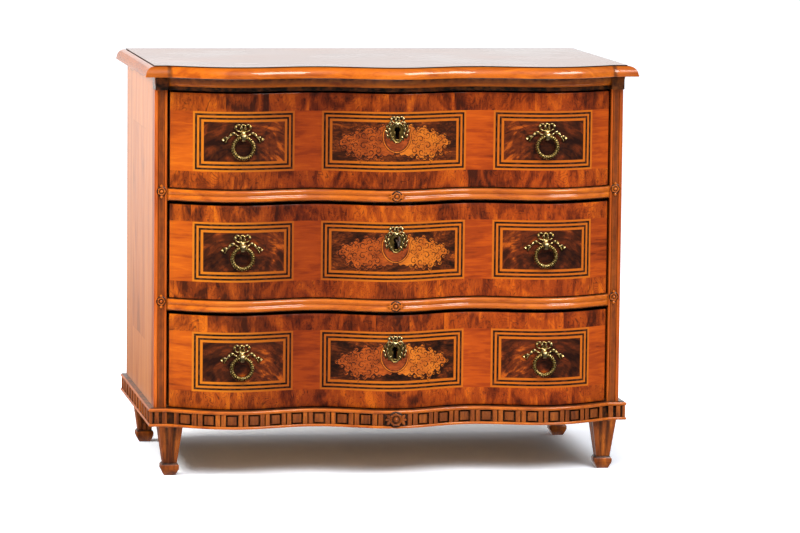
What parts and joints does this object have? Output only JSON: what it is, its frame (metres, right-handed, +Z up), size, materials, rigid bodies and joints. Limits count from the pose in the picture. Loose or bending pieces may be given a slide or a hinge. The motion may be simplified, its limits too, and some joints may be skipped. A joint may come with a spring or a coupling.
{
  "type": "commode chest",
  "caption": "Serpentine walnut commode chest with inlaid drawers, ring pulls on ribbon bows, fluted corner posts, a fret plinth and tapered legs.",
  "frame": {"origin": "on the floor, under the middle of the outline: midway between the sides, and midway between the front of the key's bow and the rear edge of the top", "axes": "+X to the chest's right as seen from the front, the drawers open towards -Y, +Z up"},
  "size_m": [1.06, 0.6712, 0.875],
  "materials": {
    "polished_walnut": "shellac polish",
    "walnut_moulding": "shellac polish",
    "drawer_veneer": "shellac polish over figured veneer",
    "plinth_walnut": "shellac polish",
    "carcass_softwood": "planed and unfinished",
    "gilt_brass": "cast, chased and worn gilt",
    "lock_iron": "forged, dark and lightly worn"
  },
  "bodies": {
    "case": {"top_panel": "polished_walnut", "top_moulding_front": "walnut_moulding", "top_moulding_left": "walnut_moulding", "top_moulding_right": "walnut_moulding", "cornice": "walnut_moulding", "side_left": "polished_walnut", "side_right": "polished_walnut", "post_left": "polished_walnut", "post_right": "polished_walnut", "back_board": "carcass_softwood", "bottom_board": "carcass_softwood", "dustboard_1": "carcass_softwood", "dustboard_2": "carcass_softwood", "rail_1": "walnut_moulding", "rail_2": "walnut_moulding", "plinth_front": "plinth_walnut", "plinth_left": "plinth_walnut", "plinth_right": "plinth_walnut", "plinth_back": "carcass_softwood", "leg_front_left": "plinth_walnut", "leg_front_right": "plinth_walnut", "leg_rear_left": "plinth_walnut", "leg_rear_right": "plinth_walnut"},
    "drawer_1": {"drawer_1_front": "drawer_veneer", "drawer_1_side_left": "carcass_softwood", "drawer_1_side_right": "carcass_softwood", "drawer_1_back": "carcass_softwood", "drawer_1_bottom": "carcass_softwood", "escutcheon_1": "gilt_brass", "lock_1": "lock_iron", "bow_1_left": "gilt_brass", "bow_1_right": "gilt_brass"},
    "pull_1_left": {"ring_1_left": "gilt_brass"},
    "pull_1_right": {"ring_1_right": "gilt_brass"},
    "latch_1": {"bolt_1": "lock_iron"},
    "drawer_2": {"drawer_2_front": "drawer_veneer", "drawer_2_side_left": "carcass_softwood", "drawer_2_side_right": "carcass_softwood", "drawer_2_back": "carcass_softwood", "drawer_2_bottom": "carcass_softwood", "escutcheon_2": "gilt_brass", "lock_2": "lock_iron", "bow_2_left": "gilt_brass", "bow_2_right": "gilt_brass"},
    "pull_2_left": {"ring_2_left": "gilt_brass"},
    "pull_2_right": {"ring_2_right": "gilt_brass"},
    "latch_2": {"bolt_2": "lock_iron"},
    "drawer_3": {"drawer_3_front": "drawer_veneer", "drawer_3_side_left": "carcass_softwood", "drawer_3_side_right": "carcass_softwood", "drawer_3_back": "carcass_softwood", "drawer_3_bottom": "carcass_softwood", "escutcheon_3": "gilt_brass", "lock_3": "lock_iron", "bow_3_left": "gilt_brass", "bow_3_right": "gilt_brass"},
    "pull_3_left": {"ring_3_left": "gilt_brass"},
    "pull_3_right": {"ring_3_right": "gilt_brass"},
    "latch_3": {"bolt_3": "lock_iron"},
    "turn_key": {"key": "lock_iron"}
  },
  "joints": [
    {"name": "drawer_1_slide", "type": "slide", "parent": "case", "child": "drawer_1", "axis": [0, -1, 0], "range_m": [0, 0.4]},
    {"name": "ring_1_left_swing", "type": "hinge", "parent": "drawer_1", "child": "pull_1_left", "pos_m": [-0.326, -0.27957, 0.2585], "axis": [-1, 0, 0], "range_deg": [0, 95]},
    {"name": "ring_1_right_swing", "type": "hinge", "parent": "drawer_1", "child": "pull_1_right", "pos_m": [0.326, -0.27957, 0.2585], "axis": [-1, 0, 0], "range_deg": [0, 95]},
    {"name": "bolt_1_throw", "type": "slide", "parent": "drawer_1", "child": "latch_1", "axis": [0, 0, 1], "range_m": [0, 0.008]},
    {"name": "drawer_2_slide", "type": "slide", "parent": "case", "child": "drawer_2", "axis": [0, -1, 0], "range_m": [0, 0.4]},
    {"name": "ring_2_left_swing", "type": "hinge", "parent": "drawer_2", "child": "pull_2_left", "pos_m": [-0.326, -0.27957, 0.4925], "axis": [-1, 0, 0], "range_deg": [0, 95]},
    {"name": "ring_2_right_swing", "type": "hinge", "parent": "drawer_2", "child": "pull_2_right", "pos_m": [0.326, -0.27957, 0.4925], "axis": [-1, 0, 0], "range_deg": [0, 95]},
    {"name": "bolt_2_throw", "type": "slide", "parent": "drawer_2", "child": "latch_2", "axis": [0, 0, 1], "range_m": [0, 0.008]},
    {"name": "drawer_3_slide", "type": "slide", "parent": "case", "child": "drawer_3", "axis": [0, -1, 0], "range_m": [0, 0.4]},
    {"name": "ring_3_left_swing", "type": "hinge", "parent": "drawer_3", "child": "pull_3_left", "pos_m": [-0.326, -0.27957, 0.7265], "axis": [-1, 0, 0], "range_deg": [0, 95]},
    {"name": "ring_3_right_swing", "type": "hinge", "parent": "drawer_3", "child": "pull_3_right", "pos_m": [0.326, -0.27957, 0.7265], "axis": [-1, 0, 0], "range_deg": [0, 95]},
    {"name": "bolt_3_throw", "type": "slide", "parent": "drawer_3", "child": "latch_3", "axis": [0, 0, 1], "range_m": [0, 0.008]},
    {"name": "key_turn", "type": "hinge", "parent": "drawer_2", "child": "turn_key", "pos_m": [0, -0.28335, 0.5075], "axis": [0, 1, 0], "range_deg": [0, 360]}
  ],
  "couplings": [
    {"joint": "bolt_2_throw", "follows": "key_turn", "m_per_rad": 0.0012732}
  ]
}
